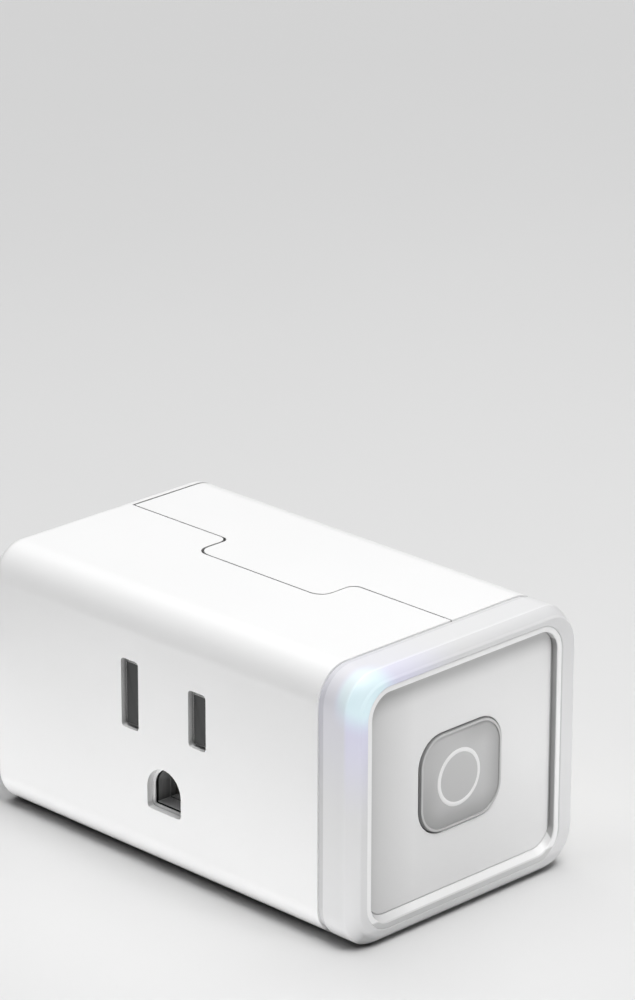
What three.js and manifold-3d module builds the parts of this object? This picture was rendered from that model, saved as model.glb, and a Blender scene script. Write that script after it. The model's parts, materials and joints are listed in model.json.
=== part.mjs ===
// A compact plug-in smart outlet: blades behind, one grounded socket in front,
// a push button and a light ring on the right-hand end.
//
// Millimetres. The origin is midway between the two plug blades, on the rear contact face.
// +X points to the button end, -Y out of the socket face, +Z up.

import * as THREE from "three";
import { mergeVertices } from "three/addons/utils/BufferGeometryUtils.js";
import Module from "manifold-3d";

const wasm = await Module();
wasm.setup();

// ---------------------------------------------------------------- driving dimensions

const GAP = 0.3; // clearance between neighbouring pieces
const BREAK = 5; // how far a cutter reaches past the faces it opens

// Outside of the case, without the light ring.
const CASE = { left: -33.7, right: 28.3, front: -41, rear: 0, bottom: -23.9, top: 13.5 };
const CASE_EDGE = 4.8; // radius of the four long edges
const CASE_END_EDGE = 1.5; // radius round the closed left end
const WALL = 2;
const FACE_WALL = 1.5; // the wall with the socket slots in it
const MIDDLE_Y = (CASE.front + CASE.rear) / 2;
const MIDDLE_Z = (CASE.bottom + CASE.top) / 2;

// Outline of the rear cover, seen from above: a straight seam with a tab in it.
const SEAM = { left: -31.5, y: -16.85 };
const TAB = { left: -12.75, right: 10.75, front: -22.85, frontCorner: 2.2, rootCorner: 1.6 };

// Light ring and the recessed plate inside it.
const RING = { end: 34.7, edge: 1.4, sideBorder: 2.6, topBorder: 2.1, innerCorner: 4 };
const PLATE = { rimTop: 34.5, rimWidth: 0.85, faceDepth: 1, thickness: 1.5, skirtEnd: 29, skirtWall: 1.2 };
const PLATE_FACE = RING.end - PLATE.faceDepth;
const PLATE_BACK = PLATE_FACE - PLATE.thickness;

// Push button.
const BUTTON = { width: 14.9, height: 13.5, corner: 4, proud: 0.3, edge: 0.5, flange: 1.1, stemRadius: 2 };
const MARK = { outer: 4, inner: 3.3, depth: 0.15 };

// Grounded 15 A plug and socket pattern.
const BLADE_PITCH = 12.7;
const GROUND_DROP = 11.9;
const BLADE = { thickness: 1.5, width: 6.35, length: 17.1, tip: 2.2, tipSlope: 1.3 };
const BLADE_HOLE = { radius: 1.6, at: 11.9 };
const BLADE_FOOT = { width: 8.6, thickness: 3.1, from: -3.1, to: -2.3, tailEnd: -10, tailWidth: 5 };
const GROUND = { radius: 2.38, length: 20.6, footRadius: 3.4, tailRadius: 1.5 };
const SLOT = { width: 2.5, neutralHeight: 8.95, lineHeight: 7.15, chamfer: 0.3 };
const GROUND_HOLE = { radius: 2.8, floor: -14.6, arcCentre: -12 };
const BLADE_X = { neutral: -BLADE_PITCH / 2, line: BLADE_PITCH / 2 };
const GROUND_Z = -GROUND_DROP;

// Spring contacts behind the socket slots, and the bars that feed them.
const CLIP = { sheet: 0.6, mouth: -37.3, pinch: -35.6, knee: -29, base: -22.4, height: 6 };
const BLADE_CLIP = { mouth: 1.9, pinch: 1.15, base: 2.1 };
const PIN_CLIP = { mouth: 3.3, pinch: 2.75, base: 3.05, floor: -18.6 };
const BAR = { sheet: 0.8, height: 5, start: -5.8 };
const CARRIER = { halfWidth: 10.6, bottom: -17.4, top: 6.6, rear: -23.1, wall: 1.5 };

// Circuit boards.
const MAIN = { front: -16.4, rear: -14.8, left: -31, right: 25.3, bottom: -21.2, top: 10.8 };
const CONTROL = { back: 25.8, face: 26.8, front: -37.6, rear: -3.4, bottom: -20.6, top: 10.2, corner: 2 };
const SEAT = 0.1; // solder height under a part on a board

// Relay: its coil stands on the main board, with the armature over the coil.
const RELAY = { left: 12.6, right: 22.8, bottom: -15, top: 3.4, height: 16.7, base: 1.1, wall: 0.8 };
const COIL = { x: 17.7, z: -7.6, from: -28.6, to: -19.2, flangeRadius: 3.7, windingRadius: 3.3 };
const CORE = { radius: 1.1, headRadius: 2.2, headFrom: -29.5, headTo: -28.9 };
const YOKE = { sheet: 0.7, width: 6, z: -12.05, from: -18.55, to: -29.6 };
const ARMATURE = { from: -30.7, to: -30, bottom: -12.6, top: -4.5, width: 5.6, springTop: 1.6, spring: 0.3 };
const CONTACT = { radius: 1.1, z: 0.6, button: 0.35, width: 3.4, face: -29.9 };
const CONTACT_POST = { z: 1.9, top: -28.8, sheet: 0.5 };

const RELAY_PIN = { radius: 0.4, hole: 0.75, places: [[14.4, -13], [21, -13], [14.4, 1.6], [21, 1.6]] };
const BOBBIN = { tubeRadius: 1.8, flange: 0.6, windingBore: 2.1, windingInset: 0.9 };

// Pieces between and on the boards.
const POST = { radius: 1.8, places: [[-28, -18], [-28, 7.6], [22, -18], [22, 7.6]] };
const CLAMP = { thickness: 2, halfWidth: 11, bottom: -17, top: 6.4, corner: 2 };
const LINE_BAR = { inY: -9.6, outY: -12.2, relayEntry: 17.4, riser: 3.6, outReach: 4.6 };
const HEADER = { left: 22.6, depth: 2.6, bottom: 4.4, pitch: 1.5, pins: 4, pinRadius: 0.3, hole: 0.6 };
const SWITCH = { halfSize: 3, top: 29.2, wellFloor: 27.6 };
const PLUNGER = { radius: 1.6, foot: 28.3, top: 30 };
const LED = { depth: 1.6, length: 3.2, carrier: 0.4, height: 1, inset: 0.2, fromEdge: 1 };
const CAN = { depth: 2.2, wall: 0.3, front: -36, rear: -23, bottom: -19, top: -3 };
const RADIO_CHIP = { front: -33, bottom: -15, size: 6, height: 0.9 };
const CRYSTAL = { front: -31.6, bottom: -7.2, length: 3.2, width: 2.5, height: 0.8, corner: 0.4 };
const ANTENNA = { front: -35, bottom: 5, top: 8.4, pitch: 2, legs: 5, track: 0.6, foil: 0.2 };

// Power supply, on the front of the main board. Each [x, z] is where a piece stands.
const X_CAPACITOR = { left: -30.4, right: -24.2, height: 12.5, bottom: -19.6, top: -6.6, corner: 0.5 };
const LARGE_CAN = { at: [-26, 5.4], radius: 4, height: 12.5 };
const SMALL_CAN = { at: [-16.6, 6.4], radius: 3.15, height: 11 };
const CRIMP = { depth: 0.4, above: 2 };
const TRANSFORMER = {
  x: -17.25, z: -6, halfWidth: 6, coreFrom: -26.5, coreTo: -21.5,
  leg: 1.75, window: 2.4, reach: 5, bar: 2, winding: 2, coilCorner: 1.5,
};
const VARISTOR = { at: [-20.8, -17.2], radius: 3.5, thickness: 3.2, edge: 0.6, height: 5, leads: 1.9 };
const RESISTOR = { at: [-14.4, -17.6], radius: 1.6, cap: 0.3, capLength: 1.4, from: 1.6, to: 9.6 };
const LEAD_RADIUS = 0.35;
const CHIP_FOOT = { sole: 0.2, height: 0.5, reach: 1, share: 0.4 };
const BRIDGE = { at: [-23.5, -1], length: 6.4, width: 5, height: 2.4, legs: 2 };
const REGULATOR = { at: [-15, -14], length: 4.9, width: 3.9, height: 1.5, legs: 4 };

const WHITE = 0xf4f5f5;
const COPPER = 0xb87350;
const BRASS = 0xc9a95c;
const BLACK = 0x25272a;

// ---------------------------------------------------------------- shapes and solids

// Local X, Y, Z of an extrusion along each axis. Outlines are drawn in (y, z), (x, z) and (x, y).
const X_AXIS = new THREE.Vector3(1, 0, 0);
const Y_AXIS = new THREE.Vector3(0, 1, 0);
const Z_AXIS = new THREE.Vector3(0, 0, 1);
const TURN = {
  x: new THREE.Matrix4().makeBasis(Y_AXIS, Z_AXIS, X_AXIS),
  y: new THREE.Matrix4().makeBasis(X_AXIS, Z_AXIS, Y_AXIS.clone().negate()),
  z: new THREE.Matrix4(),
};

// Turns a closed geometry into a solid that can be joined and cut.
function solidOf(geometry) {
  geometry.deleteAttribute("normal");
  geometry.deleteAttribute("uv");
  const merged = mergeVertices(geometry, 1e-4);
  const index = merged.index.array;
  const corners = [];
  for (let i = 0; i < index.length; i += 3) {
    const [a, b, c] = [index[i], index[i + 1], index[i + 2]];
    if (a !== b && b !== c && c !== a) corners.push(a, b, c);
  }
  const vertProperties = new Float32Array(merged.attributes.position.array);
  const triVerts = new Uint32Array(corners);
  return new wasm.Manifold(new wasm.Mesh({ numProp: 3, vertProperties, triVerts }));
}

// Extrudes an outline along an axis, with rounded ends when an edge radius is given.
function prism(axis, shape, from, to, { edge = 0, fineness = 3 } = {}) {
  const geometry = new THREE.ExtrudeGeometry(shape, {
    depth: to - from - 2 * edge,
    curveSegments: fineness,
    bevelEnabled: edge > 0,
    bevelThickness: edge,
    bevelSize: edge,
    bevelOffset: -edge,
    bevelSegments: 3,
  });
  geometry.translate(0, 0, edge);
  geometry.applyMatrix4(TURN[axis]);
  const place = { x: [from, 0, 0], y: [0, to, 0], z: [0, 0, from] }[axis];
  geometry.translate(...place);
  return solidOf(geometry);
}

function box(x0, x1, y0, y1, z0, z1) {
  const geometry = new THREE.BoxGeometry(x1 - x0, y1 - y0, z1 - z0);
  geometry.translate((x0 + x1) / 2, (y0 + y1) / 2, (z0 + z1) / 2);
  return solidOf(geometry);
}

function rod(axis, u, v, radius, from, to, options = {}) {
  return prism(axis, circle(u, v, radius), from, to, { fineness: 10, ...options });
}

// A solid of revolution about a line parallel to Y. The profile holds [radius, y] pairs, y rising.
function turned(x, z, profile) {
  const points = profile.map(([radius, y]) => new THREE.Vector2(radius, y));
  const geometry = new THREE.LatheGeometry(points, 24);
  geometry.translate(x, 0, z);
  return solidOf(geometry);
}

function circle(u, v, radius) {
  const shape = new THREE.Shape();
  shape.absarc(u, v, radius, 0, 2 * Math.PI, false);
  return shape;
}

function rectangle(u0, u1, v0, v1) {
  return polygon([[u0, v0], [u1, v0], [u1, v1], [u0, v1]]);
}

function polygon(points) {
  return new THREE.Shape(points.map(([u, v]) => new THREE.Vector2(u, v)));
}

function roundedRectangle(u0, u1, v0, v1, radius) {
  const shape = new THREE.Shape();
  const right = Math.PI / 2;
  shape.absarc(u1 - radius, v0 + radius, radius, -right, 0, false);
  shape.absarc(u1 - radius, v1 - radius, radius, 0, right, false);
  shape.absarc(u0 + radius, v1 - radius, radius, right, 2 * right, false);
  shape.absarc(u0 + radius, v0 + radius, radius, 2 * right, 3 * right, false);
  return shape;
}

// A closed outline with its corners rounded off: each point is [u, v, how far the round reaches].
function softPolygon(points) {
  const shape = new THREE.Shape();
  points.forEach(([u, v, reach = 0], i) => {
    const corner = new THREE.Vector2(u, v);
    const before = new THREE.Vector2(...points.at(i - 1).slice(0, 2)).sub(corner).normalize();
    const after = new THREE.Vector2(...points[(i + 1) % points.length].slice(0, 2)).sub(corner).normalize();
    const enter = corner.clone().addScaledVector(before, reach);
    const leave = corner.clone().addScaledVector(after, reach);
    if (i === 0) shape.moveTo(enter.x, enter.y);
    else shape.lineTo(enter.x, enter.y);
    if (reach > 0) shape.quadraticCurveTo(u, v, leave.x, leave.y);
  });
  return shape;
}

// The edge-on outline of a sheet bent along a path of [u, v] points.
function bentSheet(path, thickness) {
  const points = path.map(([u, v]) => new THREE.Vector2(u, v));
  const normals = points.slice(1).map((point, i) => {
    const along = point.clone().sub(points[i]).normalize();
    return new THREE.Vector2(-along.y, along.x);
  });
  const offsets = points.map((_, i) => {
    const before = normals[Math.max(i - 1, 0)];
    const after = normals[Math.min(i, normals.length - 1)];
    const mitre = before.clone().add(after).normalize();
    return mitre.multiplyScalar(thickness / 2 / mitre.dot(before));
  });
  const left = points.map((point, i) => point.clone().add(offsets[i]));
  const right = points.map((point, i) => point.clone().sub(offsets[i]));
  return new THREE.Shape([...right, ...left.reverse()]);
}

function union(solids) {
  return solids.reduce((whole, part) => whole.add(part));
}

// ---------------------------------------------------------------- case

// The whole case outline at a distance inside its outer skin.
function caseSection(inset) {
  const { front, rear, bottom, top } = CASE;
  const radius = CASE_EDGE - inset;
  return roundedRectangle(front + inset, rear - inset, bottom + inset, top - inset, radius);
}

function hollowCase() {
  const ends = { edge: CASE_END_EDGE, fineness: 4 };
  const outside = prism("x", caseSection(0), CASE.left, CASE.right + BREAK, ends);
  const trimmed = outside.subtract(box(
    CASE.right - GAP / 2, CASE.right + 2 * BREAK,
    CASE.front - BREAK, CASE.rear + BREAK, CASE.bottom - BREAK, CASE.top + BREAK,
  ));
  const room = prism("x", caseSection(WALL), SEAM.left, CASE.right + BREAK);
  const faceRoom = box(
    SEAM.left, CASE.right, CASE.front + FACE_WALL, CASE.front + CASE_EDGE,
    CASE.bottom + CASE_EDGE, CASE.top - CASE_EDGE,
  );
  return trimmed.subtract(room).subtract(faceRoom);
}

// The part of space that belongs to the rear cover, grown or shrunk by a distance.
function coverZone(grow) {
  const seam = SEAM.y - grow;
  const farRear = CASE.rear + BREAK;
  const farRight = CASE.right + BREAK;
  const outline = softPolygon([
    [SEAM.left - grow, farRear],
    [SEAM.left - grow, seam],
    [TAB.left - grow, seam, TAB.rootCorner],
    [TAB.left - grow, TAB.front - grow, TAB.frontCorner],
    [TAB.right + grow, TAB.front - grow, TAB.frontCorner],
    [TAB.right + grow, seam, TAB.rootCorner],
    [farRight, seam],
    [farRight, farRear],
  ]);
  return prism("z", outline, CASE.bottom - BREAK, CASE.top + BREAK, { fineness: 6 });
}

// A slot cutter whose mouth is chamfered where it meets the socket face.
function slotCutter(shape, depth) {
  const straight = prism("y", shape, CASE.front - 1, CASE.front + depth);
  const chamfer = new THREE.ExtrudeGeometry(shape, {
    depth: 0.001,
    curveSegments: 4,
    bevelThickness: SLOT.chamfer,
    bevelSize: SLOT.chamfer,
    bevelSegments: 1,
  });
  chamfer.applyMatrix4(TURN.y);
  chamfer.translate(0, CASE.front, 0);
  return straight.add(solidOf(chamfer));
}

function bladeSlot(x, height) {
  return rectangle(x - SLOT.width / 2, x + SLOT.width / 2, -height / 2, height / 2);
}

// An arch: flat floor, straight sides and a round top.
function groundArch() {
  const { radius, floor, arcCentre } = GROUND_HOLE;
  const shape = new THREE.Shape();
  shape.moveTo(-radius, floor);
  shape.lineTo(radius, floor);
  shape.absarc(0, arcCentre, radius, 0, Math.PI, false);
  return shape;
}

function socketSlots(depth) {
  return union([
    slotCutter(bladeSlot(BLADE_X.neutral, SLOT.neutralHeight), depth),
    slotCutter(bladeSlot(BLADE_X.line, SLOT.lineHeight), depth),
    slotCutter(groundArch(), depth),
  ]);
}

function frontShell() {
  return hollowCase().subtract(coverZone(GAP / 2)).subtract(socketSlots(FACE_WALL + 1));
}

function rearCover() {
  const bladeHole = (x) => rectangle(
    x - BLADE.thickness / 2 - GAP, x + BLADE.thickness / 2 + GAP,
    -BLADE.width / 2 - GAP, BLADE.width / 2 + GAP,
  );
  const holes = union([
    prism("y", bladeHole(BLADE_X.neutral), -WALL - 1, 1),
    prism("y", bladeHole(BLADE_X.line), -WALL - 1, 1),
    rod("y", 0, GROUND_Z, GROUND.radius + GAP, -WALL - 1, 1),
  ]);
  const posts = POST.places.map(([x, z]) =>
    rod("y", x, z, POST.radius, MAIN.rear + GAP, -WALL / 2, { fineness: 6 }));
  return hollowCase().intersect(coverZone(-GAP / 2)).subtract(holes).add(union(posts));
}

// ---------------------------------------------------------------- button end

function ringOpening(inset) {
  const side = RING.sideBorder + inset;
  const cap = RING.topBorder + inset;
  return roundedRectangle(
    CASE.front + side, CASE.rear - side, CASE.bottom + cap, CASE.top - cap,
    RING.innerCorner - inset,
  );
}

function lightRing() {
  const start = CASE.right + GAP / 2;
  const skin = prism("x", caseSection(0), start - BREAK, RING.end, { edge: RING.edge, fineness: 4 });
  const beyond = box(
    start - 2 * BREAK, start, CASE.front - 1, CASE.rear + 1, CASE.bottom - 1, CASE.top + 1,
  );
  const opening = prism("x", ringOpening(0), start - BREAK, RING.end + 1);
  return skin.subtract(beyond).subtract(opening);
}

function buttonOutline(grow) {
  const halfWidth = BUTTON.width / 2 + grow;
  const halfHeight = BUTTON.height / 2 + grow;
  return roundedRectangle(
    MIDDLE_Y - halfWidth, MIDDLE_Y + halfWidth, MIDDLE_Z - halfHeight, MIDDLE_Z + halfHeight,
    BUTTON.corner + grow,
  );
}

function endPlate() {
  const body = prism("x", ringOpening(GAP), PLATE.skirtEnd, PLATE.rimTop);
  const recess = prism("x", ringOpening(GAP + PLATE.rimWidth), PLATE_FACE, PLATE.rimTop + 1);
  const inside = prism("x", ringOpening(GAP + PLATE.skirtWall), PLATE.skirtEnd - 1, PLATE_BACK);
  const hole = prism("x", buttonOutline(GAP), PLATE_BACK - 1, PLATE_FACE + 1);
  return body.subtract(recess).subtract(inside).subtract(hole);
}

// The cap's flange sits behind the plate, so the cap can't fall out. A ring is sunk into its face.
function buttonCap() {
  const flangeFace = PLATE_BACK - GAP;
  const flangeBack = flangeFace - 1;
  const top = PLATE_FACE + BUTTON.proud;
  const cap = prism("x", buttonOutline(0), flangeBack, top, { edge: BUTTON.edge });
  const flange = prism("x", buttonOutline(BUTTON.flange), flangeBack, flangeFace);
  const stem = rod("x", MIDDLE_Y, MIDDLE_Z, BUTTON.stemRadius, PLUNGER.top + SEAT, flangeFace);
  const groove = circle(MIDDLE_Y, MIDDLE_Z, MARK.outer);
  groove.holes.push(circle(MIDDLE_Y, MIDDLE_Z, MARK.inner));
  const mark = prism("x", groove, top - MARK.depth, top + 1, { fineness: 16 });
  return union([cap, flange, stem]).subtract(mark);
}

// ---------------------------------------------------------------- plug blades and socket

function plugBlade(x) {
  const half = BLADE.width / 2;
  const side = polygon([
    [BLADE_FOOT.tailEnd, -BLADE_FOOT.tailWidth / 2],
    [BLADE_FOOT.from, -BLADE_FOOT.tailWidth / 2],
    [BLADE_FOOT.from, -half],
    [BLADE.length - BLADE.tip, -half],
    [BLADE.length, -half + BLADE.tipSlope],
    [BLADE.length, half - BLADE.tipSlope],
    [BLADE.length - BLADE.tip, half],
    [BLADE_FOOT.from, half],
    [BLADE_FOOT.from, BLADE_FOOT.tailWidth / 2],
    [BLADE_FOOT.tailEnd, BLADE_FOOT.tailWidth / 2],
  ]);
  const blade = prism("x", side, x - BLADE.thickness / 2, x + BLADE.thickness / 2);
  const foot = box(
    x - BLADE_FOOT.thickness / 2, x + BLADE_FOOT.thickness / 2,
    BLADE_FOOT.from, BLADE_FOOT.to, -BLADE_FOOT.width / 2, BLADE_FOOT.width / 2,
  );
  const hole = rod("x", BLADE_HOLE.at, 0, BLADE_HOLE.radius, x - 2, x + 2);
  return blade.add(foot).subtract(hole);
}

// A point on the pin's half-round nose.
function roundTip(radius, length, degrees) {
  const angle = THREE.MathUtils.degToRad(degrees);
  return [radius * Math.cos(angle), length - radius + radius * Math.sin(angle)];
}

function groundPin() {
  const { radius, length, footRadius, tailRadius } = GROUND;
  return turned(0, GROUND_Z, [
    [0, BLADE_FOOT.tailEnd],
    [tailRadius, BLADE_FOOT.tailEnd],
    [tailRadius, BLADE_FOOT.from],
    [footRadius, BLADE_FOOT.from],
    [footRadius, BLADE_FOOT.to],
    [radius, BLADE_FOOT.to],
    ...[0, 30, 60].map((degrees) => roundTip(radius, length, degrees)),
    [0, length],
  ]);
}

// Holds the feet of the blades and the pin against the rear wall.
function bladeClamp() {
  const rear = BLADE_FOOT.from - GAP;
  const front = rear - CLAMP.thickness;
  const { halfWidth, bottom, top, corner } = CLAMP;
  const plate = prism("y", roundedRectangle(-halfWidth, halfWidth, bottom, top, corner), front, rear);
  const slot = (x) => box(
    x - BLADE.thickness / 2 - GAP, x + BLADE.thickness / 2 + GAP, front - 1, 0,
    -BLADE_FOOT.tailWidth / 2 - GAP, BLADE_FOOT.tailWidth / 2 + GAP,
  );
  const pinHole = rod("y", 0, GROUND_Z, GROUND.tailRadius + GAP, front - 1, 0);
  return plate.subtract(union([slot(BLADE_X.neutral), slot(BLADE_X.line), pinHole]));
}

// An insulating block behind the socket face: narrow entries in front, wide pockets for the clips.
function socketCarrier() {
  const { halfWidth, bottom, top, rear, wall } = CARRIER;
  const front = CASE.front + FACE_WALL + GAP;
  const body = prism("y", roundedRectangle(-halfWidth, halfWidth, bottom, top, wall), front, rear);
  const entries = [
    prism("y", bladeSlot(BLADE_X.neutral, SLOT.neutralHeight), front - 1, rear),
    prism("y", bladeSlot(BLADE_X.line, SLOT.lineHeight), front - 1, rear),
    prism("y", groundArch(), front - 1, rear),
  ];
  const clearance = CLIP.sheet / 2 + GAP;
  const pocket = (x, z, halfSpan) => box(
    x - halfSpan, x + halfSpan, front + wall, rear + 1,
    z - CLIP.height / 2 - GAP, z + CLIP.height / 2 + GAP,
  );
  const pockets = [
    pocket(BLADE_X.neutral, 0, BLADE_CLIP.base + clearance),
    pocket(BLADE_X.line, 0, BLADE_CLIP.base + clearance),
    pocket(0, GROUND_Z, PIN_CLIP.mouth + clearance),
  ];
  return body.subtract(union([...entries, ...pockets]));
}

// A U-shaped leaf spring with a flared mouth, its legs drawn as far apart as a plug holds them.
function springClip(x, z, spread, base) {
  const leg = (side) => [
    [x + side * spread.mouth, CLIP.mouth],
    [x + side * spread.pinch, CLIP.pinch],
    [x + side * spread.base, CLIP.knee],
    [x + side * spread.base, base],
  ];
  const outline = bentSheet([...leg(-1), ...leg(1).reverse()], CLIP.sheet);
  return prism("z", outline, z - CLIP.height / 2, z + CLIP.height / 2);
}

function bar(path, z) {
  return prism("z", bentSheet(path, BAR.sheet), z - BAR.height / 2, z + BAR.height / 2);
}

// An L-shaped bar from a blade's tail to the base of the clip in front of it.
function straightBar(x, z, besideTail, clipBase) {
  const wall = x + besideTail + GAP + BAR.sheet / 2;
  const foot = clipBase + CLIP.sheet / 2 + GAP + BAR.sheet / 2;
  return bar([[wall, BAR.start], [wall, foot], [x - besideTail - GAP, foot]], z);
}

// From the line blade's tail, round behind the main board to the relay.
function lineInBar() {
  const { inY, relayEntry } = LINE_BAR;
  const wall = BLADE_X.line + BLADE.thickness / 2 + GAP + BAR.sheet / 2;
  return bar([[wall, BAR.start], [wall, inY], [relayEntry, inY], [relayEntry, MAIN.rear + GAP]], 0);
}

// From the relay, through the main board to the line clip.
function lineOutBar() {
  const { outY, outReach } = LINE_BAR;
  const foot = CLIP.base + CLIP.sheet / 2 + GAP + BAR.sheet / 2;
  const start = BLADE_X.line - BLADE_CLIP.base;
  const riser = BLADE_X.line + LINE_BAR.riser;
  return bar([[start, foot], [riser, foot], [riser, outY], [riser + outReach, outY]], 0);
}

// ---------------------------------------------------------------- boards

// Where the underside of a part soldered to the front of the main board sits.
const BOARD_TOP = MAIN.front - SEAT;

// One rod for each pin of the header that joins the two boards.
function headerRods(radius, from, to, fineness) {
  const y = BOARD_TOP - HEADER.depth / 2;
  const rods = [];
  for (let i = 0; i < HEADER.pins; i += 1) {
    rods.push(rod("x", y, HEADER.bottom + HEADER.pitch * (i + 0.5), radius, from, to, { fineness }));
  }
  return union(rods);
}

function mainBoard() {
  const board = box(MAIN.left, MAIN.right, MAIN.front, MAIN.rear, MAIN.bottom, MAIN.top);
  const window = (x, z) => box(
    x - BAR.sheet / 2 - 2 * GAP, x + BAR.sheet / 2 + 2 * GAP, MAIN.front - 1, MAIN.rear + 1,
    z - BAR.height / 2 - 2 * GAP, z + BAR.height / 2 + 2 * GAP,
  );
  const besideBlade = BLADE.thickness / 2 + GAP + BAR.sheet / 2;
  const besidePin = GROUND.tailRadius + GAP + BAR.sheet / 2;
  const pinHoles = RELAY_PIN.places.map(([x, z]) =>
    rod("y", x, z, RELAY_PIN.hole, MAIN.front - 1, MAIN.rear + 1, { fineness: 5 }));
  return board.subtract(union([
    window(BLADE_X.neutral + besideBlade, 0),
    window(BLADE_X.line + LINE_BAR.riser, 0),
    window(besidePin, GROUND_Z),
    ...pinHoles,
  ]));
}

function controlBoard() {
  const { back, face, front, rear, bottom, top } = CONTROL;
  const board = prism("x", roundedRectangle(front, rear, bottom, top, CONTROL.corner), back, face);
  return board.subtract(headerRods(HEADER.hole, back - 1, face + 1, 5));
}

function boardHeader() {
  const housing = box(
    HEADER.left, CONTROL.back - GAP, BOARD_TOP - HEADER.depth, BOARD_TOP,
    HEADER.bottom, HEADER.bottom + HEADER.pitch * HEADER.pins,
  );
  return housing.add(headerRods(HEADER.pinRadius, HEADER.left + 1, CONTROL.face + 1, 4));
}

function switchBody() {
  const { halfSize, top, wellFloor } = SWITCH;
  const housing = box(
    CONTROL.face + SEAT, top, MIDDLE_Y - halfSize, MIDDLE_Y + halfSize,
    MIDDLE_Z - halfSize, MIDDLE_Z + halfSize,
  );
  return housing.subtract(rod("x", MIDDLE_Y, MIDDLE_Z, PLUNGER.radius + GAP, wellFloor, top + 1));
}

function switchPlunger() {
  return rod("x", MIDDLE_Y, MIDDLE_Z, PLUNGER.radius, PLUNGER.foot, PLUNGER.top);
}

// A surface-mounted lamp at the board's front edge: a carrier strip with a clear block on it.
function statusLed(z) {
  const { depth, length, carrier, height, inset, fromEdge } = LED;
  const y = CONTROL.front + fromEdge;
  const base = CONTROL.face + SEAT;
  const strip = box(base, base + carrier, y, y + depth, z, z + length);
  const lens = box(
    base + carrier / 2, base + height, y + inset, y + depth - inset,
    z + 3 * inset, z + length - 3 * inset,
  );
  return strip.add(lens);
}

// ---------------------------------------------------------------- radio, on the back of the control board

const RADIO_SEAT = CONTROL.back - SEAT;

function radioShield() {
  const { depth, wall, front, rear, bottom, top } = CAN;
  const roof = RADIO_SEAT - depth;
  const outside = box(roof, RADIO_SEAT, front, rear, bottom, top);
  return outside.subtract(box(
    roof + wall, RADIO_SEAT + 1, front + wall, rear - wall, bottom + wall, top - wall,
  ));
}

function radioChip() {
  const { front, bottom, size, height } = RADIO_CHIP;
  return box(RADIO_SEAT - height, RADIO_SEAT, front, front + size, bottom, bottom + size);
}

function crystal() {
  const { front, bottom, length, width, height, corner } = CRYSTAL;
  const outline = roundedRectangle(front, front + length, bottom, bottom + width, corner);
  return prism("x", outline, RADIO_SEAT - height, RADIO_SEAT);
}

// A flat meander of copper foil.
function antenna() {
  const { front, bottom, top, pitch, legs, track, foil } = ANTENNA;
  const path = [];
  for (let i = 0; i < legs; i += 1) {
    const leg = [[front + i * pitch, bottom], [front + i * pitch, top]];
    path.push(...(i % 2 ? leg.reverse() : leg));
  }
  return prism("x", bentSheet(path, track), RADIO_SEAT - foil, RADIO_SEAT);
}

// ---------------------------------------------------------------- relay

function relayBase() {
  const { left, right, bottom, top, base } = RELAY;
  const plate = box(left, right, BOARD_TOP - base, BOARD_TOP, bottom, top);
  const pins = RELAY_PIN.places.map(([x, z]) =>
    rod("y", x, z, RELAY_PIN.radius, BOARD_TOP - base / 2, MAIN.rear + 1, { fineness: 4 }));
  return union([plate, ...pins]);
}

function relayCover() {
  const { left, right, bottom, top, height, base, wall } = RELAY;
  const mouth = BOARD_TOP - base - GAP;
  const roof = BOARD_TOP - height;
  const outside = prism("y", roundedRectangle(left, right, bottom, top, wall), roof, mouth);
  const inside = box(left + wall, right - wall, roof + wall, mouth + 1, bottom + wall, top - wall);
  return outside.subtract(inside);
}

function relayBobbin() {
  const { x, z, from, to, flangeRadius } = COIL;
  const { tubeRadius, flange } = BOBBIN;
  const spool = union([
    rod("y", x, z, tubeRadius, from, to),
    rod("y", x, z, flangeRadius, from, from + flange),
    rod("y", x, z, flangeRadius, to - flange, to),
  ]);
  return spool.subtract(rod("y", x, z, CORE.radius + GAP, from - 1, to + 1));
}

function relayCoil() {
  const { x, z, from, to, windingRadius } = COIL;
  const { windingInset, windingBore } = BOBBIN;
  const winding = rod("y", x, z, windingRadius, from + windingInset, to - windingInset);
  return winding.subtract(rod("y", x, z, windingBore, from, to));
}

function relayCore() {
  const { x, z, to } = COIL;
  const shank = rod("y", x, z, CORE.radius, CORE.headFrom, to);
  return shank.add(rod("y", x, z, CORE.headRadius, CORE.headFrom, CORE.headTo));
}

// An L of soft iron: under the coil, then up beside it to the armature's edge.
function relayYoke() {
  const { sheet, width, z, from, to } = YOKE;
  const outline = bentSheet([[from, COIL.z + width / 2], [from, z], [to, z]], sheet);
  return prism("x", outline, COIL.x - width / 2, COIL.x + width / 2);
}

// The hinged iron plate, with the contact spring on top and the moving contact at its tip.
function relayArmature() {
  const { from, to, bottom, top, width, springTop, spring } = ARMATURE;
  const plate = box(COIL.x - width / 2, COIL.x + width / 2, from, to, bottom, top);
  const leaf = box(
    COIL.x - CONTACT.width / 2, COIL.x + CONTACT.width / 2,
    from - spring / 2, from + spring / 2, bottom + width / 2, springTop,
  );
  const rivet = rod("y", COIL.x, CONTACT.z, CONTACT.radius, from, CONTACT.face);
  return union([plate, leaf, rivet]);
}

function relayFixedContact() {
  const { radius, z, button, width } = CONTACT;
  const { z: postZ, top: postTop, sheet } = CONTACT_POST;
  const foot = BOARD_TOP - RELAY.base - GAP;
  const outline = bentSheet([[foot, postZ], [postTop, postZ], [postTop, z - radius]], sheet);
  const post = prism("x", outline, COIL.x - width / 2, COIL.x + width / 2);
  return post.add(rod("y", COIL.x, z, radius, postTop - button, postTop));
}

// ---------------------------------------------------------------- power supply

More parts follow.
